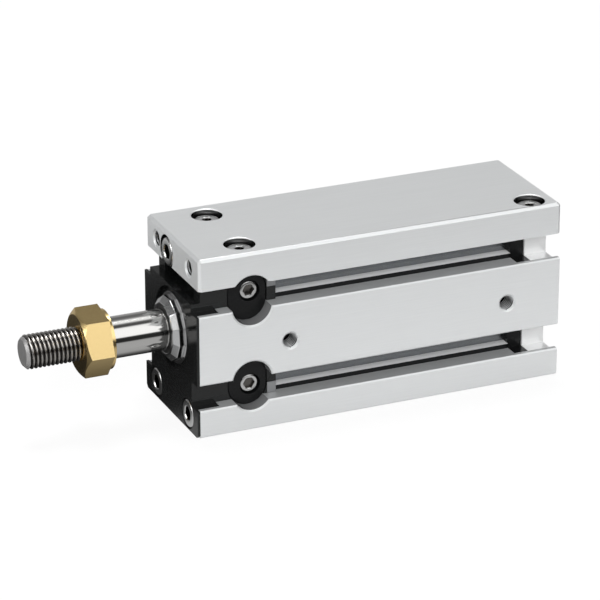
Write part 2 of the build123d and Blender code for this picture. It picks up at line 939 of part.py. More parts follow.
with BuildPart() as rod_seal:
    ring(rod_seal_start, rod_seal_length, rod_seal_diameter / 2, rod_diameter / 2 + seal_clearance)
save(rod_seal, "rod_seal")

# Piston rod: threaded end, ground length and a spigot in the piston, tapped for the piston bolt.
# The thread has its outer diameter in front of the nut and its pitch diameter under the nut.
with BuildPart() as piston_rod:
    turned(-rod_projection, rod_thread_length, rod_pitch_diameter / 2)
    turned(-rod_projection, nut_front - nut_gap + rod_projection, rod_thread_diameter / 2)
    chamfer(piston_rod.edges().filter_by(GeomType.CIRCLE).sort_by(Axis.X)[0], rod_tip_chamfer)
    turned(rod_shoulder, piston_start - rod_shoulder, rod_diameter / 2)
    shoulder_edges = piston_rod.edges().filter_by(GeomType.CIRCLE)
    shoulder_edge = shoulder_edges.filter_by(lambda edge: edge.radius > rod_thread_diameter / 2)
    chamfer(shoulder_edge.sort_by(Axis.X)[0], rod_shoulder_chamfer)
    spigot_length = piston_front_length + magnet_length - relief
    turned(piston_start, spigot_length, rod_spigot_diameter / 2)
    turned(
        piston_start + spigot_length,
        piston_end - piston_bolt_head_height - piston_bolt_length - relief - piston_start - spigot_length,
        piston_bolt_shank / 2 + running_clearance,
        Mode.SUBTRACT,
    )
save(piston_rod, "piston_rod")

# Piston in two halves, which hold the magnet and its guide ring between them
with BuildPart() as piston_front:
    turned(piston_start, piston_front_length, piston_land_diameter / 2)
    turned(magnet_start, magnet_length, piston_hub_diameter / 2)
    groove(
        piston_start + piston_seal_inset + piston_seal_width / 2,
        piston_seal_width + 2 * running_clearance,
        bore / 2,
        piston_seal_root / 2,
    )
    turned(
        piston_start,
        piston_front_length + magnet_length,
        rod_spigot_diameter / 2 + running_clearance,
        Mode.SUBTRACT,
    )
    inner_ring_radius = rod_spigot_diameter / 2 + seal_clearance + inner_ring_section / 2
    groove(
        piston_start + inner_ring_inset,
        inner_ring_section + 2 * running_clearance,
        inner_ring_radius + inner_ring_section / 2 + seal_clearance,
        rod_spigot_diameter / 2,
    )
save(piston_front, "piston_front")

with BuildPart() as piston_rear:
    turned(magnet_end, piston_rear_length, piston_land_diameter / 2)
    groove(
        piston_end - piston_seal_inset - piston_seal_width / 2,
        piston_seal_width + 2 * running_clearance,
        bore / 2,
        piston_seal_root / 2,
    )
    turned(magnet_end, piston_rear_length, piston_bolt_shank / 2 + running_clearance, Mode.SUBTRACT)
    turned(
        piston_end,
        -piston_bolt_head_height,
        piston_bolt_head / 2 + fitting_clearance,
        Mode.SUBTRACT,
    )
save(piston_rear, "piston_rear")

with BuildPart() as piston_magnet:
    ring(magnet_start, magnet_length, magnet_outer / 2, magnet_inner / 2)
save(piston_magnet, "piston_magnet")

with BuildPart() as piston_guide_ring:
    ring(magnet_start, magnet_length, bore / 2 - running_clearance, guide_ring_inner / 2)
save(piston_guide_ring, "piston_guide_ring")

with BuildPart() as piston_seals:
    for seal_start in (
        piston_start + piston_seal_inset,
        piston_end - piston_seal_inset - piston_seal_width,
    ):
        with BuildSketch(section_plane(seal_start)) as seal_section:
            with Locations((0, axis_z)):
                Circle(bore / 2 - seal_clearance)
                Circle(piston_seal_root / 2 + seal_clearance, mode=Mode.SUBTRACT)
        extrude(seal_section.sketch, amount=piston_seal_width)
save(piston_seals, "piston_seals")

with BuildPart() as piston_inner_seal:
    o_ring(piston_start + inner_ring_inset, inner_ring_radius, inner_ring_section)
save(piston_inner_seal, "piston_inner_seal")

with BuildPart() as piston_bolt:
    screws(
        section_plane(piston_end - piston_bolt_head_height),
        [(0, axis_z)],
        1,
        piston_bolt_head,
        piston_bolt_head_height,
        piston_bolt_shank,
        piston_bolt_length,
        piston_bolt_socket,
    )
save(piston_bolt, "piston_bolt")

# Bumpers on the two covers
with BuildPart() as front_bumper:
    ring(arm_end, bumper_length, bumper_outer / 2, bumper_inner / 2)
save(front_bumper, "front_bumper")

with BuildPart() as rear_bumper:
    ring(chamber_end - bumper_length, bumper_length, bumper_outer / 2, bumper_inner / 2)
save(rear_bumper, "rear_bumper")

# Lock nut on the rod's thread: hexagon with a chamfered front, a washer face behind and a bore at
# the thread's pitch diameter
with BuildPart() as rod_lock_nut:
    with BuildSketch(section_plane(nut_front)) as hexagon:
        with Locations((0, axis_z)):
            RegularPolygon(nut_across_flats / 2, 6, major_radius=False, rotation=nut_turn)
    extrude(hexagon.sketch, amount=nut_height)
    with BuildSketch(Plane.XZ) as turned_outline:
        with BuildLine():
            Polyline(
                (front_x + nut_front, axis_z),
                (front_x + nut_front, axis_z + nut_face_radius),
                (front_x + nut_front + nut_chamfer_length, axis_z + nut_face_radius + nut_chamfer_rise),
                (front_x + nut_washer_start, axis_z + nut_face_radius + nut_chamfer_rise),
                (front_x + nut_washer_start, axis_z),
                close=True,
            )
        make_face()
    revolve(turned_outline.sketch, axis=Axis((0, 0, axis_z), (1, 0, 0)), mode=Mode.INTERSECT)
    turned(nut_washer_start, nut_washer_height, nut_washer_diameter / 2)
    turned(
        nut_front,
        nut_height + nut_washer_height,
        rod_pitch_diameter / 2 + running_clearance,
        Mode.SUBTRACT,
    )
save(rod_lock_nut, "rod_lock_nut")
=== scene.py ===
import json
import math

import bmesh
import bpy
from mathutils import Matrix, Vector


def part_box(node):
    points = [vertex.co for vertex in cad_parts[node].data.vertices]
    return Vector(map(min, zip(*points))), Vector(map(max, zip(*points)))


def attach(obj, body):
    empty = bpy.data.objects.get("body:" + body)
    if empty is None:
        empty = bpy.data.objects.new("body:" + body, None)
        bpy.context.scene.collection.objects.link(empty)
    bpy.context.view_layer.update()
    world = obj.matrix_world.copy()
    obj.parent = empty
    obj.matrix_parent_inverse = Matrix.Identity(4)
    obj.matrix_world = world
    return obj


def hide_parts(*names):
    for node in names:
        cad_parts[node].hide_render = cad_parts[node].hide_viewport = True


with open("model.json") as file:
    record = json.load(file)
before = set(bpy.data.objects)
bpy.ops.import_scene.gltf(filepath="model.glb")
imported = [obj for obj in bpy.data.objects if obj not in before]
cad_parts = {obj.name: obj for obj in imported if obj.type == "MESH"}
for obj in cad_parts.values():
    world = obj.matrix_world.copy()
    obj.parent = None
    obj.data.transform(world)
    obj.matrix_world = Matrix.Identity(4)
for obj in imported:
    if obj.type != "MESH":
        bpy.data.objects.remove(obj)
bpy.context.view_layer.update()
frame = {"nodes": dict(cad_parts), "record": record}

# The camera looks at the cylinder from its front left, slightly from above, through a long lens.
# It is aimed at a point near the middle of the whole object.
camera_azimuth = math.radians(-23.58)
camera_height = math.radians(22.69)
camera_distance = 0.9686
camera_aim = Vector((-0.016, 0.00268, 0.027))
camera_back = Vector(
    (
        math.sin(camera_azimuth) * math.cos(camera_height),
        -math.cos(camera_azimuth) * math.cos(camera_height),
        math.sin(camera_height),
    )
)
camera_lens = bpy.data.cameras.new("camera")
camera_lens.lens = 200.8
camera_lens.sensor_width = 36.0
camera_lens.clip_end = 50.0
camera = bpy.data.objects.new("camera", camera_lens)
camera.location = camera_aim + camera_back * camera_distance
camera.rotation_euler = camera_back.to_track_quat("Z", "Y").to_euler()
bpy.context.scene.collection.objects.link(camera)
bpy.context.scene.camera = camera
bpy.context.scene.view_settings.view_transform = "Standard"


# The studio is white to the eye. Polished metal mirrors it as a room of bright boxes with dark gaps.
# The gaps lie along the rod, by the angle round it: 0.5 is the horizon in front, 0.75 straight up.
def feed(tree, inlet, value):
    """Set a number on a node's inlet, or link a socket to it."""
    if isinstance(value, float):
        inlet.default_value = value
    else:
        tree.links.new(value, inlet)


def calculated(tree, operation, first, second):
    """Result of one sum on two numbers or sockets."""
    step = tree.nodes.new("ShaderNodeMath")
    step.operation = operation
    feed(tree, step.inputs[0], first)
    feed(tree, step.inputs[1], second)
    return step.outputs[0]


def brightness_along(tree, value, limits, ends, points):
    """Brightness that changes as a value goes from one limit to the other.

    The points are a share of that way and the brightness there, and the ends the first and last.
    """
    share = tree.nodes.new("ShaderNodeMapRange")
    share.inputs["From Min"].default_value, share.inputs["From Max"].default_value = limits
    tree.links.new(value, share.inputs["Value"])
    profile = tree.nodes.new("ShaderNodeFloatCurve")
    curve = profile.mapping.curves[0]
    curve.points[0].location = (0.0, ends[0])
    curve.points[1].location = (1.0, ends[1])
    for place, brightness in points:
        curve.points.new(place, brightness)
    profile.mapping.update()
    tree.links.new(share.outputs["Result"], profile.inputs["Value"])
    return profile.outputs["Value"]


def white(tree, light, strength):
    """White light from a node, at a strength that is a number or a socket."""
    light.inputs["Color"].default_value = (1.0, 1.0, 1.0, 1.0)
    feed(tree, light.inputs["Strength"], strength)
    return light.outputs[0]


def mixed(tree, share, first, second):
    """Two shaders in one; the share is that of the second."""
    both = tree.nodes.new("ShaderNodeMixShader")
    tree.links.new(share, both.inputs["Fac"])
    tree.links.new(first, both.inputs[1])
    tree.links.new(second, both.inputs[2])
    return both.outputs[0]


studio = bpy.data.worlds.new("studio")
bpy.context.scene.world = studio
studio.use_nodes = True
room = studio.node_tree
where = room.nodes.new("ShaderNodeTexCoord")
way = room.nodes.new("ShaderNodeSeparateXYZ")
room.links.new(where.outputs["Generated"], way.inputs["Vector"])
to_front = calculated(room, "MULTIPLY", way.outputs["Y"], -1.0)
angle_round_rod = calculated(room, "ARCTAN2", way.outputs["Z"], to_front)
strips = brightness_along(
    room,
    angle_round_rod,
    (-math.pi, math.pi),
    (0.30, 0.30),
    (
        (0.500, 0.02),
        (0.530, 0.03),
        (0.543, 0.55),
        (0.556, 0.95),
        (0.665, 0.95),
        (0.695, 0.30),
        (0.715, 0.06),
        (0.735, 0.08),
        (0.765, 0.60),
        (0.790, 0.80),
        (0.830, 0.40),
        (0.865, 0.14),
        (0.900, 0.12),
        (0.950, 0.25),
    ),
)
# Along the room the boxes are brightest right of its middle, and dimmer towards both ends.
lengthwise = brightness_along(
    room,
    way.outputs["X"],
    (-1.0, 1.0),
    (0.40, 0.40),
    ((0.35, 0.50), (0.56, 0.85), (0.66, 1.0), (0.71, 1.0), (0.84, 0.60)),
)
room_gain = 1.4
boxes = calculated(room, "MULTIPLY", strips, lengthwise)
boxes = calculated(room, "MULTIPLY", boxes, room_gain)
fill = white(room, room.nodes["Background"], 0.50)
mirrored_room = white(room, room.nodes.new("ShaderNodeBackground"), boxes)
backdrop = white(room, room.nodes.new("ShaderNodeBackground"), 1.0)
ray = room.nodes.new("ShaderNodeLightPath")
seen = calculated(room, "MAXIMUM", ray.outputs["Is Camera Ray"], ray.outputs["Is Transmission Ray"])
surroundings = mixed(room, ray.outputs["Is Glossy Ray"], fill, mirrored_room)
surroundings = mixed(room, seen, surroundings, backdrop)
room.links.new(surroundings, room.nodes["World Output"].inputs["Surface"])

# The floor is a sheet of white paper, just under the object, that keeps its shadow.
# In reflections the sheet is bright in front of the body, and dark under it and just behind it.
sheet_reach = 3.0
sheet_z = -0.0002
sheet_corners = ((-1, -1), (1, -1), (1, 1), (-1, 1))
floor_mesh = bpy.data.meshes.new("floor")
floor_mesh.from_pydata(
    [(x * sheet_reach, y * sheet_reach, sheet_z) for x, y in sheet_corners],
    [],
    [(0, 1, 2, 3)],
)
floor = bpy.data.objects.new("floor", floor_mesh)
bpy.context.scene.collection.objects.link(floor)
paper = bpy.data.materials.new("white paper")
paper.use_nodes = True
sheet = paper.node_tree
matt = sheet.nodes["Principled BSDF"]
matt.inputs["Base Color"].default_value = (0.92, 0.92, 0.92, 1.0)
matt.inputs["Roughness"].default_value = 0.9
where = sheet.nodes.new("ShaderNodeTexCoord")
spot = sheet.nodes.new("ShaderNodeSeparateXYZ")
sheet.links.new(where.outputs["Object"], spot.inputs["Vector"])
stripes = brightness_along(
    sheet,
    spot.outputs["Y"],
    (-0.25, 0.25),
    (0.03, 0.45),
    (
        (0.12, 0.05),
        (0.19, 0.11),
        (0.27, 0.45),
        (0.46, 0.48),
        (0.49, 0.25),
        (0.52, 0.04),
        (0.66, 0.05),
        (0.80, 0.35),
    ),
)
mirrored_sheet = white(sheet, sheet.nodes.new("ShaderNodeEmission"), stripes)
glow = white(sheet, sheet.nodes.new("ShaderNodeEmission"), 1.0)
glow_share = 0.86
ray = sheet.nodes.new("ShaderNodeLightPath")
part_seen = calculated(sheet, "MULTIPLY", ray.outputs["Is Camera Ray"], glow_share)
surface = mixed(sheet, ray.outputs["Is Glossy Ray"], matt.outputs[0], mirrored_sheet)
surface = mixed(sheet, part_seen, surface, glow)
sheet.links.new(surface, sheet.nodes["Material Output"].inputs["Surface"])
floor_mesh.materials.append(paper)

# Three soft boxes light the object. The key box isn't mirrored, because its image would burn out
# the anodised flats from other sides.
lit_height = 0.03
for box_name, place, size, watts, is_mirrored in (
    ("key box", (-0.5, -1.5, 0.9), 0.9, 27.0, False),
    ("top box", (0.1, 0.4, 1.7), 0.6, 13.0, True),
    ("front box", (-1.8, 0.3, 0.5), 0.8, 6.5, True),
):
    soft_light = bpy.data.lights.new(box_name, "AREA")
    soft_light.shape = "SQUARE"
    soft_light.size = size
    soft_light.energy = watts
    soft_box = bpy.data.objects.new(box_name, soft_light)
    soft_box.location = place
    aim = Vector(place) - Vector((0.0, 0.0, lit_height))
    soft_box.rotation_euler = aim.to_track_quat("Z", "Y").to_euler()
    soft_box.visible_glossy = is_mirrored
    bpy.context.scene.collection.objects.link(soft_box)


# The body is one drawn aluminium extrusion, cut to length and satin anodised. Its edges are broken
# by a fraction of a millimetre, and the draw lines run along it. The side slots are painted with
# shade and highlight: darker walls, a half dark ledge, a near black step and a bright groove floor.
# The lock pockets and ports are cut last, and their walls are painted darker, as painted shade.
def grained(name, colour, roughness, grain, lines, detail, tone_spread, gloss_spread, depth):
    """Finish whose tone, gloss and height all follow one noise.

    Lines are the noise's waves to a metre, along X and across it, and depth is their height.
    """
    finish = bpy.data.materials.new(name)
    finish.use_nodes = True
    nodes = finish.node_tree.nodes
    links = finish.node_tree.links
    shader = nodes["Principled BSDF"]
    where = nodes.new("ShaderNodeTexCoord")
    stretch = nodes.new("ShaderNodeMapping")
    stretch.inputs["Scale"].default_value = (lines[0], lines[1], lines[1])
    links.new(where.outputs["Object"], stretch.inputs["Vector"])
    noise = nodes.new("ShaderNodeTexNoise")
    noise.inputs["Scale"].default_value = 1.0
    noise.inputs["Detail"].default_value = detail
    links.new(stretch.outputs["Vector"], noise.inputs["Vector"])
    tone = nodes.new("ShaderNodeMix")
    tone.data_type = "RGBA"
    darker = [channel * (1 - tone_spread) for channel in colour]
    lighter = [min(1.0, channel * (1 + tone_spread)) for channel in colour]
    tone.inputs["A"].default_value = (*darker, 1.0)
    tone.inputs["B"].default_value = (*lighter, 1.0)
    links.new(noise.outputs["Fac"], tone.inputs["Factor"])
    links.new(tone.outputs["Result"], shader.inputs["Base Color"])
    gloss = nodes.new("ShaderNodeMapRange")
    gloss.inputs["To Min"].default_value = roughness * (1 - gloss_spread)
    gloss.inputs["To Max"].default_value = roughness * (1 + gloss_spread)
    links.new(noise.outputs["Fac"], gloss.inputs["Value"])
    links.new(gloss.outputs["Result"], shader.inputs["Roughness"])
    bump = nodes.new("ShaderNodeBump")
    bump.inputs["Strength"].default_value = grain
    bump.inputs["Distance"].default_value = depth
    links.new(noise.outputs["Fac"], bump.inputs["Height"])
    links.new(bump.outputs["Normal"], shader.inputs["Normal"])
    return finish


def metal(name, colour, roughness, grain, metallic=1.0, lines=(60.0, 2600.0)):
    """Bare, plated or anodised metal with draw lines or tool marks."""
    finish = grained(
        name,
        colour,
        roughness,
        grain,
        lines,
        detail=3.0,
        tone_spread=0.04,
        gloss_spread=0.15,
        depth=0.00004,
    )
    finish.node_tree.nodes["Principled BSDF"].inputs["Metallic"].default_value = metallic
    return finish


def dress(node, body, finish, edge=0.0, edge_steps=2, crease=28, others=()):
    """A clean copy of a CAD node stands for it, with its edges broken by a width.

    Each of the others is a finish and a test that says which faces have it.
    """
    crease_angle = math.radians(crease)
    same_plane = math.radians(0.5)
    mesh = frame["nodes"][node].data.copy()
    mesh.name = node + "_dressed"
    shape = bmesh.new()
    shape.from_mesh(mesh)
    bmesh.ops.remove_doubles(shape, verts=shape.verts, dist=1e-6)
    bmesh.ops.dissolve_limit(shape, angle_limit=same_plane, verts=shape.verts, edges=shape.edges)
    mesh.materials.clear()
    mesh.materials.append(finish)
    for index, (other_finish, test) in enumerate(others, 1):
        mesh.materials.append(other_finish)
        for face in shape.faces:
            if test(face.calc_center_median(), face.normal):
                face.material_index = index
    shape.to_mesh(mesh)
    shape.free()
    piece = bpy.data.objects.new(node + "_dressed", mesh)
    bpy.context.scene.collection.objects.link(piece)
    mesh.shade_smooth()
    mesh.set_sharp_from_angle(angle=crease_angle)
    if edge:
        soften = piece.modifiers.new("broken edges", "BEVEL")
        soften.width = edge
        soften.segments = edge_steps
        soften.limit_method = "ANGLE"
        soften.angle_limit = crease_angle
        soften.use_clamp_overlap = True
        flatten = piece.modifiers.new("flat faces", "WEIGHTED_NORMAL")
        flatten.mode = "FACE_AREA"
        flatten.weight = 100
        flatten.keep_sharp = True
    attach(piece, body)
    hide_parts(node)
    return piece


def beside_tool(way, places, reach):
    """Test for the walls within reach of a tool that went in along a direction at these places."""

    def is_wall(middle, normal):
        is_near = any((middle - Vector(place)).cross(way).length < reach for place in places)
        return is_near and abs(normal.dot(way)) < 0.5

    return is_wall


mounts = {mount["name"]: mount["pos_m"] for mount in frame["record"]["mounts"]}
front_face_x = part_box("body_profile")[0][0]
rod_axis_z = mounts["rod_thread"][2]
along_x = Vector((1.0, 0.0, 0.0))
along_y = Vector((0.0, 1.0, 0.0))
along_z = Vector((0.0, 0.0, 1.0))

underside_z = 0.001
slot_root_y = 0.006
groove_floor_y = 0.0112
groove_mouth_y = 0.0142
slot_step_y = 0.0143
slot_mouth_y = 0.0196
slack = 0.0003


def in_slots(middle, normal):
    """Test for every face of the side slots."""
    is_lengthwise = abs(normal.x) < 0.02
    return slot_root_y < abs(middle.y) < slot_mouth_y and middle.z > underside_z and is_lengthwise


def slot_face(nearest, furthest, is_upright):
    """Test for the slots' upright or upward faces between two distances from the middle plane."""

    def is_face(middle, normal):
        is_turned_so = abs(normal.y) > 0.9 if is_upright else normal.z > 0.9
        return in_slots(middle, normal) and nearest < abs(middle.y) < furthest and is_turned_so

    return is_face


cutter_marks = (900.0, 900.0)
anodised = metal("satin anodised aluminium", (0.81, 0.825, 0.83), 0.36, 0.25, 0.62)
# Painted light in the slots: darker and lighter copies of the aluminium, where shade and highlight
# fall.
shaded_slot_metal = metal("slot aluminium, painted shade", (0.24, 0.25, 0.26), 0.25, 0.3)
half_shaded_slot_ledge = metal("slot ledge, painted half shade", (0.50, 0.51, 0.515), 0.38, 0.3, 0.35)
shadowed_slot_step = metal("slot step, painted shadow", (0.035, 0.036, 0.037), 0.25, 0.3)
highlit_groove_floor = metal("groove floor, painted highlight", (0.95, 0.955, 0.96), 0.35, 0.3, 0.1)
# The lock pocket walls are painted darker than the aluminium, as painted shade.
shaded_pocket_metal = metal("pocket wall, painted shade", (0.34, 0.345, 0.35), 0.25, 0.0, 0.5, cutter_marks)
# The walls of the tapped holes are painted near black, as painted shade inside the holes.
shaded_tapped_metal = metal("tapped hole, painted shade", (0.10, 0.10, 0.10), 0.25, 0.1, 1.0, cutter_marks)

pocket_x = front_face_x + 0.0162
pocket_heights = (0.0116, 0.0145)
pocket_reach = 0.0068
pocket_spots = [
    (pocket_x, 0.0, rod_axis_z + level * height) for level in (-1, 1) for height in pocket_heights
]
port_spots = [mounts["air_port_front"], mounts["air_port_rear"]]
tapped_reach = 0.0023
dress(
    "body_profile",
    "housing",
    anodised,
    edge=0.00020,
    others=[
        (shaded_slot_metal, in_slots),
        (half_shaded_slot_ledge, slot_face(slot_step_y + slack, slot_mouth_y, is_upright=False)),
        (shadowed_slot_step, slot_face(slot_step_y - slack, slot_step_y + slack, is_upright=True)),
        (highlit_groove_floor, slot_face(groove_floor_y, groove_mouth_y, is_upright=False)),
        (shaded_pocket_metal, beside_tool(along_y, pocket_spots, pocket_reach)),
        (shaded_tapped_metal, beside_tool(along_y, port_spots, tapped_reach)),
    ],
)

# The top plate is a sawn and milled aluminium bar, anodised with the body. Its upper edges and
# corners have a machined chamfer. The counterbores and the holes in its front end are cut last;
# the counterbore walls and the two tapped holes are painted near black, as painted shade.
plate_finish = metal("anodised plate", (0.81, 0.825, 0.83), 0.36, 0.2, 0.62)
cut_metal = metal("bare machined aluminium", (0.56, 0.57, 0.58), 0.16, 0.1, 1.0, cutter_marks)
shaded_counterbore_metal = metal("turned counterbore, painted shade", (0.09, 0.09, 0.09), 0.25, 0.1, 1.0, cutter_marks)
plate_seat_z = 0.0499
plate_screw_spots = [
    (front_face_x + 0.0155, -0.0121, plate_seat_z),
    (front_face_x + 0.0155, 0.0121, plate_seat_z),
    (front_face_x + 0.1054, -0.0144, plate_seat_z),
]
counterbore_reach = 0.0049
end_screw_spot = (front_face_x + 0.005, 0.0043, 0.0479)
end_screw_reach = 0.0051
end_hole_x = front_face_x + 0.008
end_hole_z = mounts["plate_end_holes"][2]
end_hole_spots = [(end_hole_x, y, end_hole_z) for y in (-0.0122, 0.0122)]
dress(
    "top_plate",
    "housing",
    plate_finish,
    edge=0.00018,
    others=[
        (cut_metal, beside_tool(along_y, pocket_spots, pocket_reach)),
        (shaded_counterbore_metal, beside_tool(along_z, plate_screw_spots, counterbore_reach)),
        (shaded_tapped_metal, beside_tool(along_x, end_hole_spots, tapped_reach)),
        (cut_metal, beside_tool(along_x, [end_screw_spot], end_screw_reach)),
    ],
)


# The ports and the two holes in the plate's front end are tapped. Each thread is a helical ridge
# that stands a little out of its hole's wall and catches the light.
def new_tree(name, inputs):
    """Empty geometry node tree with these named inputs, and the nodes at its two ends."""
    tree = bpy.data.node_groups.new(name, "GeometryNodeTree")
    tree.is_modifier = True
    tree.interface.new_socket("Geometry", in_out="INPUT", socket_type="NodeSocketGeometry")
    for socket_name, kind in inputs:
        tree.interface.new_socket(socket_name, in_out="INPUT", socket_type="NodeSocket" + kind)
    tree.interface.new_socket("Geometry", in_out="OUTPUT", socket_type="NodeSocketGeometry")
    return tree, tree.nodes.new("NodeGroupInput"), tree.nodes.new("NodeGroupOutput")


def named_value(tree, name, data_type):
    """What the points or faces carry under a name."""
    value = tree.nodes.new("GeometryNodeInputNamedAttribute")
    value.data_type = data_type
    value.inputs["Name"].default_value = name
    return value.outputs["Attribute"]


def on_points(tree, points, item):
    """One item on each point, with its Z turned to the point's own direction."""
    turn = tree.nodes.new("FunctionNodeAlignRotationToVector")
    turn.axis = "Z"
    tree.links.new(named_value(tree, "out", "FLOAT_VECTOR"), turn.inputs["Vector"])
    place = tree.nodes.new("GeometryNodeInstanceOnPoints")
    tree.links.new(points, place.inputs["Points"])
    tree.links.new(item, place.inputs["Instance"])
    tree.links.new(turn.outputs["Rotation"], place.inputs["Rotation"])
    return place.outputs["Instances"]


def made_solid(tree, instances, finish):
    """Items made real, with one finish."""
    solid = tree.nodes.new("GeometryNodeRealizeInstances")
    tree.links.new(instances, solid.inputs["Geometry"])
    coat = tree.nodes.new("GeometryNodeSetMaterial")
    tree.links.new(solid.outputs["Geometry"], coat.inputs["Geometry"])
    tree.links.new(finish, coat.inputs["Material"])
    return coat.outputs["Geometry"]


def set_out(name, tree, values, spots, directions):
    """Points with directions, dressed by a tree and then frozen into one plain mesh."""
    points = bpy.data.meshes.new(name)
    points.from_pydata(spots, [], [])
    heading = points.attributes.new("out", "FLOAT_VECTOR", "POINT")
    for entry, direction in zip(heading.data, directions):
        entry.vector = direction
    piece = bpy.data.objects.new(name, points)
    bpy.context.scene.collection.objects.link(piece)
    layout = piece.modifiers.new("layout", "NODES")
    layout.node_group = tree
    for socket in tree.interface.items_tree:
        if socket.name in values:
            layout[socket.identifier] = values[socket.name]
    bpy.context.view_layer.update()
    view = bpy.context.evaluated_depsgraph_get()
    frozen = bpy.data.meshes.new_from_object(piece.evaluated_get(view))
    piece.modifiers.clear()
    piece.data = frozen
    bpy.data.meshes.remove(points)
    return piece


def thread_tree():
    """Geometry nodes that wind a ridge along Z from each point."""
    tree, inlet, outlet = new_tree(
        "thread in a hole",
        (
            ("Radius", "Float"),
            ("Length", "Float"),
            ("Turns", "Float"),
            ("Ridge", "Float"),
            ("Finish", "Material"),
        ),
    )
    coil = tree.nodes.new("GeometryNodeCurveSpiral")
    coil.inputs["Resolution"].default_value = 40
    tree.links.new(inlet.outputs["Radius"], coil.inputs["Start Radius"])
    tree.links.new(inlet.outputs["Radius"], coil.inputs["End Radius"])
    tree.links.new(inlet.outputs["Length"], coil.inputs["Height"])
    tree.links.new(inlet.outputs["Turns"], coil.inputs["Rotations"])
    section = tree.nodes.new("GeometryNodeCurvePrimitiveCircle")
    section.inputs["Resolution"].default_value = 6
    tree.links.new(inlet.outputs["Ridge"], section.inputs["Radius"])
    ridge = tree.nodes.new("GeometryNodeCurveToMesh")
    ridge.inputs["Fill Caps"].default_value = True
    tree.links.new(coil.outputs["Curve"], ridge.inputs["Curve"])
    tree.links.new(section.outputs["Curve"], ridge.inputs["Profile Curve"])
    threads = on_points(tree, inlet.outputs["Geometry"], ridge.outputs["Mesh"])
    threads = made_solid(tree, threads, inlet.outputs["Finish"])
    tree.links.new(threads, outlet.inputs["Geometry"])
    return tree


thread_metal = metal("thread in a hole", (0.85, 0.86, 0.87), 0.30, 0.1, 1.0, cutter_marks)
thread_winding = thread_tree()
hole_radius = 0.00215
hole_pitch = 0.0008
hole_ridge = 0.00020
port_floor_y = -0.0146
for hole_name, spots, way, length in (
    ("port_threads", [(x, port_floor_y, z) for x, _, z in port_spots], (0, -1, 0), 0.0048),
    ("plate_end_threads", end_hole_spots, (-1, 0, 0), 0.0072),
):
    sizes = {
        "Radius": hole_radius,
        "Length": length,
        "Turns": length / hole_pitch,
        "Ridge": hole_ridge,
        "Finish": thread_metal,
    }
    threads = set_out(hole_name, thread_winding, sizes, spots, [way] * len(spots))
    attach(threads, "housing")


# The front cover is a black painted casting with a smooth gloss skin.
# Its flange is machined flat, so it mirrors the polished nose nut.
def smooth_skin(name, colour, roughness, ripple, shine=0.5):
    """Paint, rubber or plastic, with a fine ripple in its skin."""
    finish = grained(
        name,
        colour,
        roughness,
        ripple,
        lines=(900.0, 900.0),
        detail=2.0,
        tone_spread=0.15,
        gloss_spread=0.05,
        depth=0.00003,
    )
    shader = finish.node_tree.nodes["Principled BSDF"]
    shader.inputs["Specular IOR Level"].default_value = shine
    return finish


cover_black = smooth_skin("gloss black cover", (0.006, 0.0065, 0.0065), 0.12, 0.0)
dress("front_cover", "housing", cover_black, edge=0.00012)

# The side locks are black discs that fill the pockets, with a satin skin that shines little.
# There are four, one at the front of each slot, and a screw holds each in place.
lock_black = smooth_skin("satin black locks", (0.005, 0.0052, 0.0055), 0.26, 0.04, shine=0.25)
dress("side_lock_discs", "housing", lock_black, edge=0.00008)

# The rear cover is black like the side locks, and stands in front of a bright milled block.
# Four screws from the rear hold both to the extrusion.
bright_metal = metal("bright milled aluminium", (0.90, 0.905, 0.905), 0.35, 0.2, 0.6)
dress("rear_cover", "housing", lock_black, edge=0.00010)
dress("rear_block", "housing", bright_metal, edge=0.00010)

# The slot nuts are plain steel bars in the slots beside the side locks.
# Each is pulled against its lock by one small screw.
plain_steel = metal("plain steel", (0.52, 0.53, 0.54), 0.35, 0.2, 1.0, cutter_marks)
dress("slot_nuts", "housing", plain_steel, edge=0.00006)


# The socket head screws are plated steel. Each group is one turned screw, set out on its seats.
# The head has a rounded rim and a hexagonal socket, painted dark as painted shade.
def ring(shape, sides, radius_at, corner):
    """Corners round an axis, at a radius that may change with the share of the turn."""
    corners = []
    for k in range(sides):
        angle = 2 * math.pi * k / sides
        radius = radius_at(k / sides)
        corners.append(shape.verts.new(corner(radius * math.cos(angle), radius * math.sin(angle))))
    return corners


def wall(shape, rings):
    """Faces between each ring and the next."""
    faces = []
    for near, far in zip(rings, rings[1:]):
        for k in range(len(near)):
            n = (k + 1) % len(near)
            faces.append(shape.faces.new((near[k], near[n], far[n], far[k])))
    return faces


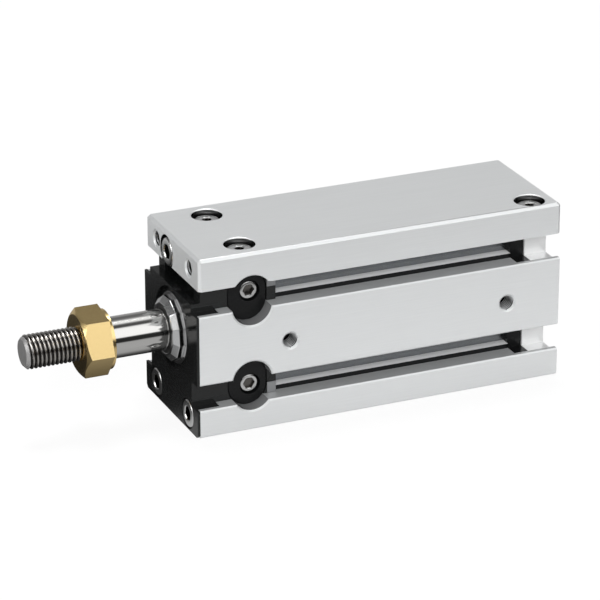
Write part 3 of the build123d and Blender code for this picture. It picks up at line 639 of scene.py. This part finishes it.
def turned_screw(name, head, head_height, shank, length, socket):
    """One screw along Z, with its seat at the origin and its head above it."""
    sides = 48
    rim = head * 0.045
    rim_steps = ((2.2, 0.0), (1.0, 0.25), (0.3, 0.9), (0.0, 1.8))
    outline = [(head / 2 - rim * inward, head_height - rim * down) for inward, down in rim_steps]
    outline += [(head / 2, 0.0), (shank / 2, 0.0), (shank / 2, -length)]
    socket_corner = socket / 2 / math.cos(math.pi / 6)
    socket_floor = head_height * 0.4
    lip_width = head * 0.035
    lip_depth = head * 0.03
    lip_past_corner = head * 0.012
    pit_depth = head * 0.05
    shape = bmesh.new()
    in_socket = shape.faces.layers.bool.new("socket")

    def level_ring(radius_at, height):
        return ring(shape, sides, radius_at, lambda x, y: (x, y, height))

    def hexagon(share):
        from_flat = (2 * math.pi * share + math.pi / 6) % (math.pi / 3) - math.pi / 6
        return socket / 2 / math.cos(from_flat)

    def mouth_radius(share):
        return min(hexagon(share) + lip_width, socket_corner + lip_past_corner)

    outside = [level_ring(lambda share: radius, height) for radius, height in outline]
    mouth = level_ring(mouth_radius, head_height)
    lip = level_ring(hexagon, head_height - lip_depth)
    well = level_ring(hexagon, socket_floor)
    pit = shape.verts.new((0.0, 0.0, socket_floor - pit_depth))
    wall(shape, [lip, mouth, *outside])
    shape.faces.new(outside[-1])
    inside = wall(shape, [lip, well])
    inside += [shape.faces.new((well[k - 1], well[k], pit)) for k in range(sides)]
    for face in inside:
        face[in_socket] = True
    bmesh.ops.recalc_face_normals(shape, faces=shape.faces)
    mesh = bpy.data.meshes.new(name)
    shape.to_mesh(mesh)
    shape.free()
    mesh.shade_smooth()
    mesh.set_sharp_from_angle(angle=math.radians(35))
    screw = bpy.data.objects.new(name, mesh)
    bpy.context.scene.collection.objects.link(screw)
    return screw


def screw_tree():
    """Geometry nodes that put one screw on each point, turned round its axis, with painted shade in
    its socket.
    """
    tree, inlet, outlet = new_tree(
        "screws on their seats",
        (
            ("Screw", "Object"),
            ("Turn", "Float"),
            ("Finish", "Material"),
            ("Socket finish", "Material"),
        ),
    )
    screw = tree.nodes.new("GeometryNodeObjectInfo")
    screw.transform_space = "ORIGINAL"
    tree.links.new(inlet.outputs["Screw"], screw.inputs["Object"])
    screws = on_points(tree, inlet.outputs["Geometry"], screw.outputs["Geometry"])
    round_axis = tree.nodes.new("ShaderNodeCombineXYZ")
    tree.links.new(inlet.outputs["Turn"], round_axis.inputs["Z"])
    turned = tree.nodes.new("GeometryNodeRotateInstances")
    tree.links.new(screws, turned.inputs["Instances"])
    tree.links.new(round_axis.outputs["Vector"], turned.inputs["Rotation"])
    solid = made_solid(tree, turned.outputs["Instances"], inlet.outputs["Finish"])
    darken = tree.nodes.new("GeometryNodeSetMaterial")
    tree.links.new(solid, darken.inputs["Geometry"])
    tree.links.new(named_value(tree, "socket", "BOOLEAN"), darken.inputs["Selection"])
    tree.links.new(inlet.outputs["Socket finish"], darken.inputs["Material"])
    tree.links.new(darken.outputs["Geometry"], outlet.inputs["Geometry"])
    return tree


plating = (1500.0, 1500.0)
screw_steel = metal("plated screw steel", (0.84, 0.84, 0.835), 0.24, 0.15, 1.0, plating)
# The sockets are painted dark, as painted shade in the hollow.
shaded_socket_steel = metal("socket steel, painted shade", (0.17, 0.16, 0.15), 0.22, 0.1, 1.0, plating)
screw_layout = screw_tree()


def screw_group(name, node, spots, directions, turn, finish=screw_steel, **sizes):
    """Identical screws on their seats stand for a CAD node."""
    screw = turned_screw("one_of_" + name, **sizes)
    values = {"Screw": screw, "Turn": turn, "Finish": finish, "Socket finish": shaded_socket_steel}
    heads = set_out(name, screw_layout, values, spots, directions)
    pattern = screw.data
    bpy.data.objects.remove(screw)
    bpy.data.meshes.remove(pattern)
    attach(heads, "housing")
    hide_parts(node)


# The plate screws are low-head screws of plated steel, seated in the counterbores, and painted
# lighter than the other screws as painted light against the shade there.
# Two clamp the plate at its front, and one at its rear on the near side.
lightened_screw_steel = metal("screw steel, painted light", (0.92, 0.92, 0.92), 0.30, 0.15, 1.0, plating)
screw_group(
    "plate_screw_heads",
    "plate_screws",
    plate_screw_spots,
    [(0, 0, 1)] * len(plate_screw_spots),
    turn=0.3,
    finish=lightened_screw_steel,
    head=0.0074,
    head_height=0.0028,
    shank=0.004,
    length=0.005,
    socket=0.0025,
)

# The plate's end screw is a larger one of plated steel.
# It goes into the plate's front end, and its head is flush with the face.
screw_group(
    "plate_end_screw_head",
    "plate_end_screw",
    [end_screw_spot],
    [(-1, 0, 0)],
    turn=0.2,
    head=0.0085,
    head_height=0.005,
    shank=0.005,
    length=0.012,
    socket=0.004,
)

# Two plated screws of the same size hold the front cover to the extrusion.
# Their heads sit in its flange, low on both sides.
cover_screw_spots = [(front_face_x + 0.0042, y, 0.0047) for y in (-0.0121, 0.0121)]
screw_group(
    "front_cover_screw_heads",
    "front_cover_screws",
    cover_screw_spots,
    [(-1, 0, 0)] * len(cover_screw_spots),
    turn=0.35,
    head=0.0085,
    head_height=0.005,
    shank=0.005,
    length=0.012,
    socket=0.004,
)

# Each side lock has one small plated screw in its middle.
# The screw pulls the lock and its slot nut tight.
corners = [(side, level) for side in (-1, 1) for level in (-1, 1)]
screw_group(
    "side_lock_screw_heads",
    "side_lock_screws",
    [(front_face_x + 0.017, side * 0.013, rod_axis_z + level * 0.0143) for side, level in corners],
    [(0, side, 0) for side, level in corners],
    turn=0.5,
    head=0.0056,
    head_height=0.002,
    shank=0.003,
    length=0.0036,
    socket=0.003,
)

# Four small plated screws hold the rear end together.
# They go in from the rear, through the block and the cover, into the extrusion.
screw_group(
    "rear_screw_heads",
    "rear_screws",
    [(front_face_x + 0.1083, side * 0.014, rod_axis_z + level * 0.007) for side, level in corners],
    [(1, 0, 0)] * len(corners),
    turn=0.1,
    head=0.0055,
    head_height=0.003,
    shank=0.003,
    length=0.012,
    socket=0.0025,
)

# The nose nut and its ring are turned and polished steel round the rod.
# The wiper between nut and rod is black rubber.
turned_steel = metal("turned nose steel", (0.78, 0.785, 0.79), 0.17, 0.1, 1.0, (600.0, 600.0))
polished = metal("polished steel", (0.74, 0.74, 0.74), 0.09, 0.05, 1.0, (300.0, 300.0))
rubber = smooth_skin("black rubber", (0.02, 0.02, 0.02), 0.55, 0.3)
dress("nose_nut", "housing", turned_steel, edge=0.00010, crease=14)
dress("nose_ring", "housing", polished, edge=0.00004)
dress("rod_wiper", "housing", rubber, edge=0.00004)

# The piston rod is ground and hard chromed, with a rolled metric thread on its free end.
# The thread is cut by a height that follows the turn; its crests are flattened as rolled ones are.
rod_radius = 0.006
shoulder_chamfer = 0.0005
piston_shoulder_x = front_face_x + 0.0766
spigot_radius = 0.004
rod_end_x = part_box("piston_rod")[1][0]
thread_radius = 0.005
thread_pitch = 0.00125
thread_depth = 0.00072
thread_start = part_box("piston_rod")[0][0]
thread_end = front_face_x - 0.0202
thread_run_out = 0.0018
valley_flat = 0.1
flank = 0.72
crest_clearance = 0.00003
tip_chamfer = 0.0011
around = 64
steps_per_turn = 16
thread_rows = int((thread_end - thread_start) / thread_pitch * steps_per_turn)
rod_shape = bmesh.new()


def thread_surface(x, share):
    """Radius of the threaded end at a place along it and a share of the turn."""
    phase = ((x - thread_start) / thread_pitch - share) % 1.0
    rise = min(max((abs(phase * 2 - 1) - valley_flat) / flank, 0.0), 1.0)
    cut = thread_radius - crest_clearance - thread_depth * (1 - rise)
    fade = min(1.0, max(0.0, (thread_end - x) / thread_run_out))
    radius = cut * fade + (thread_radius - thread_depth / 2) * (1 - fade)
    return min(radius, thread_radius - tip_chamfer + (x - thread_start))


def rod_ring(x, radius_at):
    """Ring of corners round the rod's axis."""
    return ring(rod_shape, around, radius_at, lambda y, z: (x, y, rod_axis_z + z))


rows = []
for row in range(thread_rows + 1):
    x = thread_start + (thread_end - thread_start) * row / thread_rows
    rows.append(rod_ring(x, lambda share: thread_surface(x, share)))
for x, radius in (
    (thread_end, rod_radius - shoulder_chamfer),
    (thread_end + shoulder_chamfer, rod_radius),
    (piston_shoulder_x, rod_radius),
    (piston_shoulder_x, spigot_radius),
    (rod_end_x, spigot_radius),
):
    rows.append(rod_ring(x, lambda share: radius))
wall(rod_shape, rows)
rod_shape.faces.new(rows[0])
rod_shape.faces.new(rows[-1])
bmesh.ops.recalc_face_normals(rod_shape, faces=rod_shape.faces)
rod_mesh = bpy.data.meshes.new("rod_and_thread")
rod_shape.to_mesh(rod_mesh)
rod_shape.free()
rod_mesh.shade_smooth()
rod_mesh.set_sharp_from_angle(angle=math.radians(40))

# The shank is chromed, the thread is plain with painted shade in its valleys, and the tip is faced
# on a lathe.
rolling_marks = (1200.0, 1200.0)
chrome = metal("hard chromed rod", (0.68, 0.675, 0.66), 0.09, 0.04, 1.0, (40.0, 1200.0))
rolled = metal("rolled thread steel", (0.58, 0.56, 0.535), 0.22, 0.1, 1.0, rolling_marks)
end_face = metal("turned end face", (0.52, 0.515, 0.51), 0.42, 0.2, 0.8, (3000.0, 3000.0))
shaded_valley = metal("thread valleys, painted shade", (0.09, 0.085, 0.08), 0.30, 0.1, 1.0, rolling_marks)
rod_finishes = [chrome, rolled, end_face, shaded_valley]
for finish in rod_finishes:
    rod_mesh.materials.append(finish)
valley_radius = thread_radius - thread_depth * 0.55
tip_end = thread_start + tip_chamfer * 0.9
for face in rod_mesh.polygons:
    if face.center.x < tip_end:
        face.material_index = rod_finishes.index(end_face)
    elif face.center.x < thread_end:
        from_axis = math.hypot(face.center.y, face.center.z - rod_axis_z)
        face.material_index = rod_finishes.index(shaded_valley if from_axis < valley_radius else rolled)
rod = bpy.data.objects.new("rod_and_thread", rod_mesh)
bpy.context.scene.collection.objects.link(rod)
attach(rod, "rod")
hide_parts("piston_rod")

# The lock nut is machined from bar and yellow passivated, with a chamfered front and a washer face.
# It is screwed on the rod's thread, and locks whatever the rod drives.
yellow = metal("yellow passivated steel", (0.92, 0.69, 0.32), 0.22, 0.15, 1.0, (1400.0, 1400.0))
dress("rod_lock_nut", "lock_nut", yellow, edge=0.00012, edge_steps=3, crease=14)

# The parts inside are plain: bronze bush, rubber seals, machined piston halves, magnet and bolt.
# They are hidden in the bore, and keep the edges that the solids have.
bronze = metal("sintered bronze", (0.45, 0.30, 0.16), 0.5, 0.4, 1.0, (2000.0, 2000.0))
machined = metal("machined piston aluminium", (0.75, 0.76, 0.76), 0.3, 0.2, 1.0, (2500.0, 60.0))
magnet_black = smooth_skin("bonded magnet", (0.03, 0.028, 0.028), 0.5, 0.2)
guide_white = smooth_skin("guide ring plastic", (0.6, 0.58, 0.52), 0.45, 0.1)
for node, inner_body, slot, finish in (
    ("rod_bush", "housing", "bush_bronze", bronze),
    ("rod_seal", "housing", "seal_rubber", rubber),
    ("front_cover_seal", "housing", "seal_rubber", rubber),
    ("rear_cover_seal", "housing", "seal_rubber", rubber),
    ("front_bumper", "housing", "seal_rubber", rubber),
    ("rear_bumper", "housing", "seal_rubber", rubber),
    ("piston_front", "rod", "end_aluminium", machined),
    ("piston_rear", "rod", "end_aluminium", machined),
    ("piston_magnet", "rod", "magnet", magnet_black),
    ("piston_guide_ring", "rod", "guide_plastic", guide_white),
    ("piston_seals", "rod", "seal_rubber", rubber),
    ("piston_inner_seal", "rod", "seal_rubber", rubber),
    ("piston_bolt", "rod", "screw_steel", screw_steel),
):
    dress(node, inner_body, finish)
